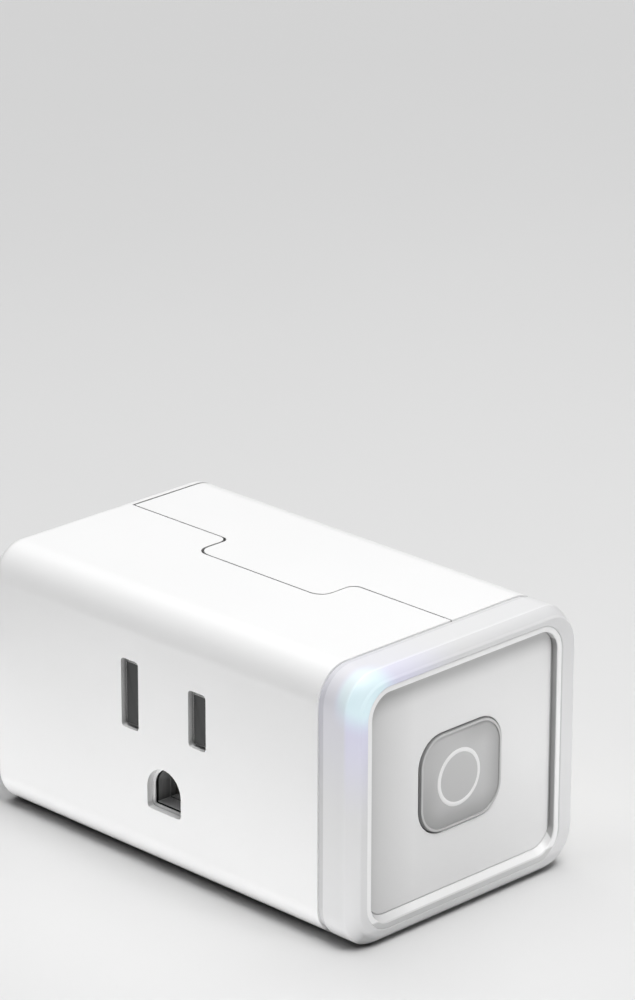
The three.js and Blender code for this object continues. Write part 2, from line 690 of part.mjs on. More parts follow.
// A can capacitor standing on the main board, with the crimp groove near its foot.
function canCapacitor({ at: [x, z], radius, height }) {
  const { depth, above } = CRIMP;
  const top = BOARD_TOP - height;
  const groove = BOARD_TOP - above;
  return turned(x, z, [
    [0, top],
    [radius - depth, top],
    [radius, top + depth],
    [radius, groove - depth],
    [radius - depth, groove],
    [radius, groove + depth],
    [radius, BOARD_TOP],
    [0, BOARD_TOP],
  ]);
}

function xCapacitor() {
  const { left, right, height, bottom, top, corner } = X_CAPACITOR;
  const outline = roundedRectangle(left, right, BOARD_TOP - height, BOARD_TOP, corner);
  return prism("z", outline, bottom, top);
}

// Three-legged ferrite frame.
function transformerCore() {
  const { x, z, halfWidth, coreFrom, coreTo, leg, window, reach, bar: crossBar } = TRANSFORMER;
  const tall = reach + crossBar;
  const frame = box(x - halfWidth, x + halfWidth, coreFrom, coreTo, z - tall, z + tall);
  const opening = (from, to) => box(from, to, coreFrom - 1, coreTo + 1, z - reach, z + reach);
  return frame
    .subtract(opening(x - leg - window, x - leg))
    .subtract(opening(x + leg, x + leg + window));
}

// Wound round the middle leg, with clearance to the frame on every side.
function transformerCoil() {
  const { x, z, coreFrom, coreTo, leg, window, reach, winding, coilCorner } = TRANSFORMER;
  const clear = leg + GAP;
  const wound = leg + window - GAP;
  const outline = roundedRectangle(x - wound, x + wound, coreFrom - winding, coreTo + winding, coilCorner);
  const coil = prism("z", outline, z - reach + GAP, z + reach - GAP);
  return coil.subtract(box(x - clear, x + clear, coreFrom - GAP, coreTo + GAP, z - reach, z + reach));
}

function transformerBase() {
  const { x, z, halfWidth, coreTo, winding, reach } = TRANSFORMER;
  const side = halfWidth - 1;
  const tall = reach + 1;
  return box(x - side, x + side, coreTo + winding + GAP, BOARD_TOP, z - tall, z + tall);
}

function varistor() {
  const { at: [x, z], radius, thickness, edge, height, leads } = VARISTOR;
  const disc = rod("x", BOARD_TOP - height, z, radius, x - thickness / 2, x + thickness / 2, { edge });
  const legs = [-leads, leads].map((side) =>
    rod("y", x, z + side, LEAD_RADIUS, BOARD_TOP - height + 1, BOARD_TOP, { fineness: 4 }));
  return union([disc, ...legs]);
}

function fuseResistor() {
  const { at: [x, z], radius, cap, capLength, from, to } = RESISTOR;
  return turned(x, z, [
    [0, BOARD_TOP - to],
    [radius + cap, BOARD_TOP - to],
    [radius + cap, BOARD_TOP - to + capLength],
    [radius, BOARD_TOP - to + capLength + cap],
    [radius, BOARD_TOP - from - capLength - cap],
    [radius + cap, BOARD_TOP - from - capLength],
    [radius + cap, BOARD_TOP - from],
    [LEAD_RADIUS, BOARD_TOP - from],
    [LEAD_RADIUS, BOARD_TOP],
    [0, BOARD_TOP],
  ]);
}

// A moulded chip on the back of the main board, with legs along two sides.
function chip({ at: [x, z], length, width, height, legs }) {
  const seat = MAIN.rear + SEAT;
  const { sole, height: footHeight, reach, share } = CHIP_FOOT;
  const body = box(x - length / 2, x + length / 2, seat + sole, seat + height, z - width / 2, z + width / 2);
  const pitch = length / legs;
  const half = pitch * share / 2;
  const feet = [];
  for (let i = 0; i < legs; i += 1) {
    const u = x - length / 2 + pitch * (i + 0.5);
    feet.push(box(u - half, u + half, seat, seat + footHeight, z - width / 2 - reach, z + width / 2 + reach));
  }
  return union([body, ...feet]);
}

// ---------------------------------------------------------------- assembly

const plug = new THREE.Group();

function place(name, solid, color, roughness, metalness = 0) {
  const { vertProperties, triVerts } = solid.getMesh();
  const geometry = new THREE.BufferGeometry();
  geometry.setAttribute("position", new THREE.BufferAttribute(vertProperties, 3));
  geometry.setIndex(new THREE.BufferAttribute(triVerts, 1));
  geometry.computeVertexNormals();
  const mesh = new THREE.Mesh(geometry, new THREE.MeshStandardMaterial({ color, roughness, metalness }));
  mesh.name = name;
  plug.add(mesh);
}

const bladeTail = BLADE.thickness / 2;

place("front_shell", frontShell(), WHITE, 0.35);
place("rear_cover", rearCover(), WHITE, 0.35);
place("light_ring", lightRing(), 0xe6e8ee, 0.3);
place("end_plate", endPlate(), 0xe4e5e6, 0.45);
place("button_cap", buttonCap(), 0xb4b6b8, 0.5);

place("blade_neutral", plugBlade(BLADE_X.neutral), BRASS, 0.3, 1);
place("blade_line", plugBlade(BLADE_X.line), BRASS, 0.3, 1);
place("ground_pin", groundPin(), BRASS, 0.3, 1);
place("blade_clamp", bladeClamp(), BLACK, 0.6);
place("socket_carrier", socketCarrier(), 0x6d7074, 0.6);
place("contact_neutral", springClip(BLADE_X.neutral, 0, BLADE_CLIP, CLIP.base), COPPER, 0.35, 1);
place("contact_line", springClip(BLADE_X.line, 0, BLADE_CLIP, CLIP.base), COPPER, 0.35, 1);
place("contact_ground", springClip(0, GROUND_Z, PIN_CLIP, PIN_CLIP.floor), COPPER, 0.35, 1);
place("neutral_bar", straightBar(BLADE_X.neutral, 0, bladeTail, CLIP.base), COPPER, 0.35, 1);
place("ground_bar", straightBar(0, GROUND_Z, GROUND.tailRadius, PIN_CLIP.floor), COPPER, 0.35, 1);
place("line_in_bar", lineInBar(), COPPER, 0.35, 1);
place("line_out_bar", lineOutBar(), COPPER, 0.35, 1);

place("main_board", mainBoard(), 0x1f6b45, 0.5);
place("control_board", controlBoard(), 0x1f6b45, 0.5);
place("board_header", boardHeader(), BLACK, 0.5);
place("switch_body", switchBody(), BLACK, 0.5);
place("switch_plunger", switchPlunger(), 0xd8d8d4, 0.5);
place("status_led_blue", statusLed(6.2), 0xcfe4ff, 0.2);
place("status_led_amber", statusLed(1.8), 0xffe2b0, 0.2);
place("radio_shield", radioShield(), 0xc4c7ca, 0.3, 1);
place("radio_chip", radioChip(), BLACK, 0.45);
place("crystal", crystal(), 0xc9c9c4, 0.3, 1);
place("antenna", antenna(), COPPER, 0.35, 1);

place("relay_base", relayBase(), BLACK, 0.5);
place("relay_cover", relayCover(), 0x2b5fa8, 0.35);
place("relay_bobbin", relayBobbin(), 0x222326, 0.5);
place("relay_coil", relayCoil(), 0xa65a2a, 0.4, 1);
place("relay_core", relayCore(), 0x9a9c9e, 0.35, 1);
place("relay_yoke", relayYoke(), 0x9a9c9e, 0.35, 1);
place("relay_armature", relayArmature(), 0x9a9c9e, 0.35, 1);
place("relay_fixed_contact", relayFixedContact(), BRASS, 0.3, 1);

place("x_capacitor", xCapacitor(), 0xd8a72c, 0.4);
place("bulk_capacitor_large", canCapacitor(LARGE_CAN), 0x2a2d33, 0.35);
place("bulk_capacitor_small", canCapacitor(SMALL_CAN), 0x2a2d33, 0.35);
place("transformer_core", transformerCore(), 0x3a3836, 0.6);
place("transformer_coil", transformerCoil(), 0xe0b62e, 0.5);
place("transformer_base", transformerBase(), BLACK, 0.5);
place("varistor", varistor(), 0x2f62b0, 0.5);
place("fuse_resistor", fuseResistor(), 0x4c7f5d, 0.5);
place("bridge_rectifier", chip(BRIDGE), BLACK, 0.5);
place("regulator_chip", chip(REGULATOR), BLACK, 0.5);

export default plug;
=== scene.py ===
"""A compact smart plug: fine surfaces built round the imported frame, in metres."""

import json
import math

import bmesh
import bpy
from mathutils import Matrix, Vector


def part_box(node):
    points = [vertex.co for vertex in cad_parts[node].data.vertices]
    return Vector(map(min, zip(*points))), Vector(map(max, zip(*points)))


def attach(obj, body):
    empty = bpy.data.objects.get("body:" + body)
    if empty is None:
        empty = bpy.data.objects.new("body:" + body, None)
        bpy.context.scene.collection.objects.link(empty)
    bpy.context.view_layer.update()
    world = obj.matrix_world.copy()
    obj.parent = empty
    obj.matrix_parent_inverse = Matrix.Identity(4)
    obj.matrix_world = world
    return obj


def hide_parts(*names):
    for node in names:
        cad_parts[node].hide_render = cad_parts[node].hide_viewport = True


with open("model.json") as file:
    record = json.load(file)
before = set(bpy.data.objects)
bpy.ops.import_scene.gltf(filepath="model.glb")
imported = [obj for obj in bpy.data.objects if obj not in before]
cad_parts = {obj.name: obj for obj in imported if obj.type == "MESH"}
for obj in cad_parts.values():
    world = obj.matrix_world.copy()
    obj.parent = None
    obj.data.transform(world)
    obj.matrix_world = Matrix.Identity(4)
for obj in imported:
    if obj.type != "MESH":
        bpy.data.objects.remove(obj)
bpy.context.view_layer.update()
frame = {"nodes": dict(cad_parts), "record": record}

MM = 0.001

# ---------------------------------------------------------------- places and sizes, from the frame

SHELL_LOW, SHELL_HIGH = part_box("front_shell")
COVER_LOW, COVER_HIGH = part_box("rear_cover")
RING_LOW, RING_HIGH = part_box("light_ring")
PLATE_LOW, PLATE_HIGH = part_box("end_plate")
CAP_LOW, CAP_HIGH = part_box("button_cap")
MIDDLE = (RING_LOW + RING_HIGH) / 2
HALF_DEPTH = (RING_HIGH.y - RING_LOW.y) / 2
HALF_HEIGHT = (RING_HIGH.z - RING_LOW.z) / 2
BLADES = {"neutral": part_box("blade_neutral"), "line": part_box("blade_line")}
PIN_LOW, PIN_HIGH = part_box("ground_pin")
CARRIER_LOW, CARRIER_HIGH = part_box("socket_carrier")
BLADE_X = {side: (low.x + high.x) / 2 for side, (low, high) in BLADES.items()}
PIN_Z = (PIN_LOW.z + PIN_HIGH.z) / 2

CASE_EDGE = 4.9 * MM
CASE_END_EDGE = 1.7 * MM
WALL = 2 * MM
FACE_WALL = 1.2 * MM
SEAM = 0.26 * MM
SEAM_Y = -16.85 * MM
TAB_LEFT = -12.75 * MM
TAB_RIGHT = 10.75 * MM
SLOT_WIDTH = 2.5 * MM
SLOT_HEIGHT = {"neutral": 8.95 * MM, "line": 7.15 * MM}
SLOT_CHAMFER = 0.4 * MM
MOUTH_WALL = 0.92 * MM
MOUTH_DEPTH = 1.0 * MM
ARCH_RADIUS = 2.8 * MM
ARCH_FLOOR = -14.6 * MM
ARCH_CENTRE = -12 * MM
BLADE_THICKNESS = 1.5 * MM
BLADE_HEIGHT = 6.35 * MM
PIN_RADIUS = 2.38 * MM
BUTTON_CORNER = 4 * MM
BUTTON_FLANGE = 1.1 * MM
BUTTON_GAP = 0.15 * MM
FRONT_GAP = 0.2 * MM
SKIRT = 0.1 * MM
HALF_BUTTON_Y = (CAP_HIGH.y - CAP_LOW.y) / 2 - BUTTON_FLANGE
HALF_BUTTON_Z = (CAP_HIGH.z - CAP_LOW.z) / 2 - BUTTON_FLANGE
SMALL_EDGE = 0.08 * MM
CORNER_STEPS = 14

OPENING_Y = HALF_DEPTH - (PLATE_HIGH.y - PLATE_LOW.y) / 2 - 0.3 * MM
OPENING_Z = HALF_HEIGHT - (PLATE_HIGH.z - PLATE_LOW.z) / 2 - 0.3 * MM
OPENING_CORNER = 4 * MM
STEP_WIDTH = 0.95 * MM
STEP_DEPTH = 0.25 * MM
CREASE_X = RING_HIGH.x - 1.65 * MM
EDGE_LENGTH = RING_HIGH.x - CREASE_X
EDGE_INSET = 1.3 * MM
RIM_TOP = RING_HIGH.x - 0.1 * MM
RIM_WIDTH = 0.75 * MM
SLOPE_WIDTH = 0.8 * MM
BUTTON_PROUD = 0.3 * MM
FACE_EDGE = 0.22 * MM
PILLOW = 0.32 * MM
MARK_OUTER = 3.95 * MM
MARK_INNER = 3.35 * MM
MARK_SHIFT = Vector((0, -0.7, 0.03)) * MM
CARRIER_FRONT = RING_LOW.y + FACE_WALL + 0.3 * MM
BLADE_ENTRY = 1.05 * MM
PIN_ENTRY = 3.2 * MM
BLADE_SHADOW = 1.0 * MM
PIN_SHADOW = 3.1 * MM
GLOW_AT = Vector((RING_HIGH.x - 0.5 * MM, RING_LOW.y + 2.4 * MM, RING_HIGH.z - 2.2 * MM))
CASE_WHITE = (0.865, 0.865, 0.865, 1)
RING_WHITE = (0.72, 0.72, 0.725, 1)
BACKDROP = 0.72


# ---------------------------------------------------------------- mesh tools

def arc(u, v, radius, start, end, steps):
    """Points along an arc, angles in degrees."""
    points = []
    for i in range(steps + 1):
        angle = math.radians(start + (end - start) * i / steps)
        points.append((u + radius * math.cos(angle), v + radius * math.sin(angle)))
    return points


def rounded_outline(half_u, half_v, radius, steps=CORNER_STEPS):
    """An anticlockwise rounded rectangle about the origin."""
    u, v = half_u - radius, half_v - radius
    return (arc(u, -v, radius, -90, 0, steps) + arc(u, v, radius, 0, 90, steps)
            + arc(-u, v, radius, 90, 180, steps) + arc(-u, -v, radius, 180, 270, steps))


def end_loop(x, inset_y, inset_z, radius, shift_y=0.0, shift_z=0.0):
    """A rounded rectangle across the object at x, set in from the case's outer sides."""
    outline = rounded_outline(HALF_DEPTH - inset_y, HALF_HEIGHT - inset_z, radius)
    return [Vector((x, MIDDLE.y + shift_y + u, MIDDLE.z + shift_z + v)) for u, v in outline]


def new_object(name, bm):
    bmesh.ops.recalc_face_normals(bm, faces=bm.faces)
    mesh = bpy.data.meshes.new(name)
    bm.to_mesh(mesh)
    bm.free()
    obj = bpy.data.objects.new(name, mesh)
    bpy.context.scene.collection.objects.link(obj)
    return obj


def loft(name, loops, ring=False):
    """Skins matching loops. The ends are capped, or joined to each other when ring is true."""
    bm = bmesh.new()
    rows = [[bm.verts.new(point) for point in loop] for loop in loops]
    pairs = list(zip(rows, rows[1:]))
    if ring:
        pairs.append((rows[-1], rows[0]))
    else:
        bm.faces.new(rows[0])
        bm.faces.new(rows[-1])
    for near, far in pairs:
        for i in range(len(near)):
            j = (i + 1) % len(near)
            bm.faces.new((near[i], near[j], far[j], far[i]))
    return new_object(name, bm)


def extrude(name, outline, axis, start, end):
    """A prism: the outline lies in (y, z), (x, z) or (x, y) for axis x, y or z."""
    def place(u, v, w):
        return {"x": (w, u, v), "y": (u, w, v), "z": (u, v, w)}[axis]
    return loft(name, [[Vector(place(u, v, w)) for u, v in outline] for w in (start, end)])


def boolean(obj, cutter, operation="DIFFERENCE"):
    """Cuts, joins or intersects obj with cutter, and deletes the cutter."""
    modifier = obj.modifiers.new("cut", "BOOLEAN")
    modifier.operation = operation
    modifier.object = cutter
    modifier.solver = "EXACT"
    bake(obj)
    bpy.data.objects.remove(cutter)
    return obj


def bake(obj):
    """Applies an object's modifiers to its mesh."""
    graph = bpy.context.evaluated_depsgraph_get()
    graph.update()
    mesh = bpy.data.meshes.new_from_object(obj.evaluated_get(graph))
    obj.modifiers.clear()
    obj.data = mesh


def tidy(obj):
    """Merges the flat slivers that a cut leaves behind."""
    bm = bmesh.new()
    bm.from_mesh(obj.data)
    bmesh.ops.remove_doubles(bm, verts=bm.verts, dist=0.002 * MM)
    bmesh.ops.dissolve_limit(bm, angle_limit=math.radians(0.3), verts=bm.verts, edges=bm.edges)
    bm.to_mesh(obj.data)
    bm.free()


def soften(obj, width=SMALL_EDGE, segments=3, angle=32):
    """Rounds the sharp edges and shades the result smoothly."""
    obj.data.polygons.foreach_set("use_smooth", [True] * len(obj.data.polygons))
    bevel = obj.modifiers.new("edges", "BEVEL")
    bevel.width = width
    bevel.segments = segments
    bevel.limit_method = "ANGLE"
    bevel.angle_limit = math.radians(angle)
    bevel.harden_normals = True
    weigh = obj.modifiers.new("normals", "WEIGHTED_NORMAL")
    weigh.keep_sharp = True
    weigh.weight = 100
    return obj


def smooth(obj, angle=40):
    """Smooth shading, with the edges sharper than the angle left crisp."""
    obj.data.polygons.foreach_set("use_smooth", [True] * len(obj.data.polygons))
    obj.data.set_sharp_from_angle(angle=math.radians(angle))
    weigh = obj.modifiers.new("normals", "WEIGHTED_NORMAL")
    weigh.keep_sharp = True
    weigh.weight = 100
    return obj


def finish_piece(obj, body, slot, material, *nodes):
    """Dresses a piece, rides it on its body and lets it stand for CAD nodes."""
    obj.data.materials.clear()
    obj.data.materials.append(material)
    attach(obj, body)
    if nodes:
        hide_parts(*nodes)
    return obj


# ---------------------------------------------------------------- material tools

class Nodes:
    """A short way to build a material's node tree."""

    def __init__(self, name):
        self.material = bpy.data.materials.new(name)
        self.material.use_nodes = True
        self.tree = self.material.node_tree
        self.shader = self.tree.nodes["Principled BSDF"]
        self.place = self.add("ShaderNodeTexCoord").outputs["Object"]

    def add(self, kind, inputs=None, **settings):
        node = self.tree.nodes.new(kind)
        for key, value in settings.items():
            setattr(node, key, value)
        for key, value in (inputs or {}).items():
            self.set(node.inputs[key], value)
        return node

    def set(self, socket, value):
        if isinstance(value, bpy.types.NodeSocket):
            self.tree.links.new(value, socket)
        else:
            socket.default_value = value

    def shade(self, **values):
        for key, value in values.items():
            self.set(self.shader.inputs[key.replace("_", " ")], value)

    def noise(self, scale, detail=4, vector=None):
        inputs = {"Vector": vector or self.place, "Scale": scale, "Detail": detail}
        return self.add("ShaderNodeTexNoise", inputs).outputs["Fac"]

    def stretch(self, scale):
        """The object's own coordinates, squeezed along some axes."""
        inputs = {"Vector": self.place, "Scale": scale}
        return self.add("ShaderNodeMapping", inputs).outputs["Vector"]

    def ramp(self, factor, low, high, start=0.0, end=1.0):
        """Runs smoothly from low to high as factor goes from start to end."""
        inputs = {"Value": factor, "From Min": start, "From Max": end, "To Min": low, "To Max": high}
        return self.add("ShaderNodeMapRange", inputs, interpolation_type="SMOOTHSTEP").outputs["Result"]

    def math(self, operation, a, b=0.0):
        node = self.add("ShaderNodeMath", operation=operation)
        self.set(node.inputs[0], a)
        self.set(node.inputs[1], b)
        return node.outputs[0]

    def mix(self, factor, a, b):
        node = self.add("ShaderNodeMix", data_type="RGBA")
        self.set(node.inputs[0], factor)
        self.set(node.inputs[6], a)
        self.set(node.inputs[7], b)
        return node.outputs[2]

    def split(self, vector):
        """A vector's X, Y and Z."""
        return self.add("ShaderNodeSeparateXYZ", {"Vector": vector}).outputs

    def vector(self, operation, a, b=None, result="Vector"):
        """Vector arithmetic."""
        inputs = {0: a} if b is None else {0: a, 1: b}
        return self.add("ShaderNodeVectorMath", inputs, operation=operation).outputs[result]

    def normal(self):
        """Which way the surface faces, as X, Y and Z."""
        return self.split(self.add("ShaderNodeNewGeometry").outputs["Normal"])

    def not_upward(self):
        """0 on surfaces that face up, 1 on walls and undersides."""
        return self.ramp(self.normal()["Z"], 1.0, 0.0, 0.2, 0.8)

    def bump(self, height, strength, distance):
        inputs = {"Height": height, "Strength": strength, "Distance": distance}
        self.shade(Normal=self.add("ShaderNodeBump", inputs).outputs["Normal"])


def grey(value, warmth=0.0):
    return (value * (1 + warmth), value, value * (1 - warmth), 1)


def case_material():
    """White moulded plastic, with painted shade in its openings and joints and on the openings' side walls.
    """
    nodes = Nodes("satin_white_case")
    cloud = nodes.noise(60, 3)
    # Painted shade: hollows found by an occlusion test are darkened on walls and undersides, not by the ring.
    hollow = nodes.add("ShaderNodeAmbientOcclusion", {"Distance": 1.2 * MM}, samples=8).outputs["AO"]
    painted_crevice_shade = nodes.math("MULTIPLY", nodes.ramp(hollow, 0.9, 0.0, 0.1, 0.95), nodes.not_upward())
    split = nodes.split(nodes.place)
    before_ring = nodes.ramp(split["X"], 1.0, 0.0, SHELL_HIGH.x - 1.5 * MM, SHELL_HIGH.x - 1.0 * MM)
    painted_crevice_shade = nodes.math("MULTIPLY", painted_crevice_shade, before_ring)
    # Painted shade on the side walls of the openings near the socket face.
    sideways = nodes.ramp(nodes.math("ABSOLUTE", nodes.normal()["X"]), 0.0, 1.0, 0.4, 0.8)
    among_openings = nodes.ramp(nodes.math("ABSOLUTE", split["X"]), 1.0, 0.0, 10 * MM, 11 * MM)
    sideways = nodes.math("MULTIPLY", sideways, among_openings)
    outer = nodes.ramp(split["Y"], 1.0, 0.0, RING_LOW.y, RING_LOW.y + 1.1 * MM)
    wall = nodes.math("MULTIPLY", nodes.math("MULTIPLY", sideways, outer), 0.45)
    colour = nodes.mix(wall, nodes.mix(cloud, CASE_WHITE, grey(0.845)), grey(0.1))
    nodes.shade(Base_Color=nodes.mix(painted_crevice_shade, colour, grey(0.2)))
    nodes.shade(Roughness=nodes.ramp(cloud, 0.31, 0.37, 0.3, 0.7), IOR=1.5)
    nodes.bump(nodes.noise(9000, 2), 0.3, 0.004 * MM)
    return nodes.material


def socket_material():
    """The dark insulator behind the openings: painted light where it faces up and on its lower walls, painted
    shadow in black at its front and far back.
    """
    nodes = Nodes("socket_insulator")
    streaks = nodes.noise(1.0, 3, nodes.stretch((5000.0, 1800.0, 200.0)))
    walls = nodes.mix(streaks, grey(0.04), grey(0.10))
    split = nodes.split(nodes.place)
    black = grey(0.006)
    # Painted light: the lower walls are paler, as if lit from below.
    low = nodes.ramp(split["Z"], 1.0, 0.0, -9 * MM, -7 * MM)
    walls = nodes.mix(low, walls, nodes.mix(streaks, grey(0.12), grey(0.32)))
    # Painted shadow: a black line just inside the front edge.
    lip = nodes.ramp(split["Y"], 1.0, 0.0, CARRIER_FRONT + 0.1 * MM, CARRIER_FRONT + 0.2 * MM)
    walls = nodes.mix(lip, walls, black)
    # Painted shadow: black deep inside, past the entries.
    extra = nodes.math("MULTIPLY", low, PIN_SHADOW - BLADE_SHADOW)
    shadow_start = nodes.math("ADD", extra, CARRIER_FRONT + BLADE_SHADOW)
    walls = nodes.mix(nodes.math("GREATER_THAN", split["Y"], shadow_start), walls, black)
    # Painted light and shade: faces that look up are pale, walls stay dark.
    nodes.shade(Base_Color=nodes.mix(nodes.not_upward(), grey(0.85), walls), Roughness=0.5)
    nodes.bump(streaks, 0.3, 0.01 * MM)
    return nodes.material


def plate_material():
    """The end plate: a painted highlight on the rim, painted darker at its bottom, painted shade on the floor
    beside its front and upper walls, and painted shade on the rear wall.
    """
    nodes = Nodes("satin_end_plate")
    split = nodes.split(nodes.place)
    cloud = nodes.noise(60, 3)
    # Painted shade: the floor darkens towards its front wall and below its upper wall.
    front = nodes.add("ShaderNodeMapRange", {"Value": split["Y"], "From Min": PLATE_LOW.y + 1 * MM,
                                            "From Max": PLATE_LOW.y + 9 * MM}).outputs["Result"]
    front = nodes.math("ADD", 0.66, nodes.math("MULTIPLY", nodes.math("POWER", front, 0.6), 0.34))
    upper = nodes.ramp(split["Z"], 1.0, 0.72, PLATE_HIGH.z - 4.2 * MM, PLATE_HIGH.z - 1.0 * MM)
    shade = nodes.math("MULTIPLY", nodes.math("MULTIPLY", front, upper), nodes.ramp(cloud, 0.98, 1.0))
    # Painted shade on the rear wall.
    painted_rear_wall_shade = nodes.ramp(split["Y"], 1.0, 0.55, PLATE_HIGH.y - 0.95 * MM, PLATE_HIGH.y - 0.8 * MM)
    shade = nodes.math("MULTIPLY", shade, painted_rear_wall_shade)
    # Painted highlight on the rim, painted darker along its bottom.
    rim = nodes.ramp(split["X"], 0.0, 1.0, RIM_TOP - 0.25 * MM, RIM_TOP - 0.1 * MM)
    low = nodes.ramp(split["Z"], 0.66, 1.0, PLATE_LOW.z + 0.9 * MM, PLATE_LOW.z + 1.3 * MM)
    painted_rim_light = nodes.mix(low, grey(0), grey(0.9))
    nodes.shade(Base_Color=nodes.mix(rim, nodes.mix(shade, grey(0), grey(0.80)), painted_rim_light))
    nodes.shade(Roughness=nodes.ramp(cloud, 0.33, 0.39, 0.3, 0.7), IOR=1.5)
    nodes.bump(nodes.noise(9000, 2), 0.3, 0.004 * MM)
    return nodes.material


def button_material():
    """Grey satin plastic: a painted highlight on the lip, painted shade on the side walls, and a face that
    falls away, painted darker to the rear and below.
    """
    nodes = Nodes("satin_grey_button")
    cloud = nodes.noise(60, 3)
    centre = (0.0, MIDDLE.y, MIDDLE.z)
    flat = (0.0, HALF_BUTTON_Y - BUTTON_CORNER, HALF_BUTTON_Z - BUTTON_CORNER)
    out = nodes.vector("SUBTRACT", nodes.place, centre)
    away = nodes.vector("SUBTRACT", nodes.vector("ABSOLUTE", out), flat)
    away = nodes.vector("MULTIPLY", nodes.vector("MAXIMUM", away), (0.0, 1.0, 1.0))
    inside = nodes.math("SUBTRACT", BUTTON_CORNER, nodes.vector("LENGTH", away, result="Value"))
    split = nodes.split(out)
    # Painted shade: the face darkens near its rear and lower edges.
    rear = nodes.ramp(split["Y"], 0.1, 1.0, -4 * MM, 5 * MM)
    painted_shade_below = nodes.ramp(split["Z"], 1.0, 0.2, -5 * MM, 3 * MM)
    towards_edge = nodes.ramp(inside, 0.34, 0.0, 0.3 * MM, 4 * MM)
    fall = nodes.math("MULTIPLY", nodes.math("MAXIMUM", rear, painted_shade_below), towards_edge)
    colour = nodes.mix(cloud, grey(0.53), grey(0.515))
    face = nodes.mix(fall, colour, grey(0.1))
    # Painted highlight on the lip, painted shade on the side walls.
    lip = nodes.mix(nodes.ramp(inside, 1.0, 0.0, 0.32 * MM, 0.38 * MM), face, grey(0.55))
    nodes.shade(Base_Color=nodes.mix(nodes.ramp(inside, 1.0, 0.0, 0.02 * MM, 0.1 * MM), lip, grey(0.26)))
    nodes.shade(Roughness=nodes.ramp(cloud, 0.39, 0.45, 0.3, 0.7), IOR=1.5)
    nodes.bump(nodes.noise(9000, 2), 0.3, 0.006 * MM)
    return nodes.material


def plastic(name, colour, roughness, grain=9000, depth=0.004, coat=0.0):
    """Moulded plastic: a very fine texture, slightly uneven gloss and a trace of mottling."""
    nodes = Nodes(name)
    cloud = nodes.noise(60, 3)
    fine = nodes.noise(grain, 2)
    darker = tuple(channel * 0.97 for channel in colour[:3]) + (1,)
    nodes.shade(Base_Color=nodes.mix(cloud, colour, darker))
    nodes.shade(Roughness=nodes.ramp(cloud, roughness - 0.03, roughness + 0.03, 0.3, 0.7))
    nodes.shade(IOR=1.5, Coat_Weight=coat, Coat_Roughness=0.15)
    nodes.bump(fine, 0.3, depth * MM)
    return nodes.material


def metal(name, colour, roughness, along):
    """Rolled or stamped metal, brushed along one axis."""
    nodes = Nodes(name)
    squeeze = [4000.0, 4000.0, 4000.0]
    squeeze["xyz".index(along)] = 150.0
    lines = nodes.noise(1.0, 3, nodes.stretch(squeeze))
    stain = nodes.noise(180, 3)
    darker = tuple(channel * 0.8 for channel in colour[:3]) + (1,)
    nodes.shade(Base_Color=nodes.mix(nodes.ramp(stain, 0, 0.5, 0.4, 0.8), colour, darker))
    nodes.shade(Metallic=1.0, Roughness=nodes.ramp(lines, roughness - 0.08, roughness + 0.12, 0.3, 0.7))
    nodes.bump(lines, 0.25, 0.01 * MM)
    return nodes.material


# ---------------------------------------------------------------- materials

def ring_material():
    """Milky plastic, lit from inside at its front upper corner: cyan at the lamp, lavender further off;
    painted light and shade elsewhere.
    """
    nodes = Nodes("milky_diffuser")
    split = nodes.split(nodes.place)
    reach = nodes.vector("DISTANCE", nodes.place, GLOW_AT, result="Value")
    ahead = nodes.ramp(split["X"], 0.0, 1.0, CREASE_X - 2.6 * MM, CREASE_X - 1.2 * MM)
    core = nodes.math("MULTIPLY", ahead, nodes.ramp(reach, 1.0, 0.0, 2.4 * MM, 6.0 * MM))
    past_crease = nodes.ramp(split["X"], 0.3, 1.0, CREASE_X - 0.3 * MM, CREASE_X + 0.3 * MM)
    halo = nodes.math("MULTIPLY", past_crease, nodes.ramp(reach, 1.0, 0.0, 4.0 * MM, 18.0 * MM))
    # Painted shade: the lower part darkens, except near the front.
    low = nodes.ramp(split["Z"], 0.74, 1.0, RING_LOW.z + 2.0 * MM, RING_LOW.z + 3.4 * MM)
    along = nodes.ramp(split["Y"], 1.0, 0.0, RING_LOW.y + 1.4 * MM, RING_LOW.y + 4.2 * MM)
    # Painted shade on the shallow step by the seam.
    step = nodes.ramp(split["X"], 0.86, 1.0, RING_LOW.x + 0.72 * MM, RING_LOW.x + 0.82 * MM)
    # Painted shade on the upward-facing broad edge, and a painted highlight along the crease.
    painted_upward_shade = nodes.ramp(nodes.normal()["Z"], 1.0, 0.9, 0.1, 0.5)
    edge = nodes.ramp(split["X"], 1.0, painted_upward_shade, CREASE_X - 0.1 * MM, CREASE_X + 0.1 * MM)
    off_crease = nodes.math("ABSOLUTE", nodes.math("SUBTRACT", split["X"], CREASE_X))
    edge = nodes.math("MULTIPLY", edge, nodes.ramp(off_crease, 1.22, 1.0, 0.08 * MM, 0.2 * MM))
    # Painted light: the end face is lighter.
    face = nodes.ramp(split["X"], 1.0, 1.16, RING_HIGH.x - 0.3 * MM, RING_HIGH.x - 0.05 * MM)
    shade = nodes.math("MULTIPLY", nodes.math("MAXIMUM", low, along), step)
    shade = nodes.math("MULTIPLY", shade, nodes.math("MULTIPLY", edge, face))
    shade = nodes.math("MULTIPLY", shade, nodes.ramp(nodes.noise(90, 2), 0.985, 1.0))
    nodes.shade(Base_Color=nodes.mix(shade, grey(0.0), RING_WHITE), Roughness=0.45, IOR=1.48)
    nodes.shade(Emission_Color=nodes.mix(core, (0.16, 0.12, 1.0, 1), (0.30, 0.84, 1.0, 1)))
    glow = nodes.math("ADD", nodes.math("MULTIPLY", halo, 0.14), nodes.math("MULTIPLY", core, 0.13))
    nodes.shade(Emission_Strength=glow)
    nodes.bump(nodes.noise(7000, 2), 0.2, 0.003 * MM)
    return nodes.material


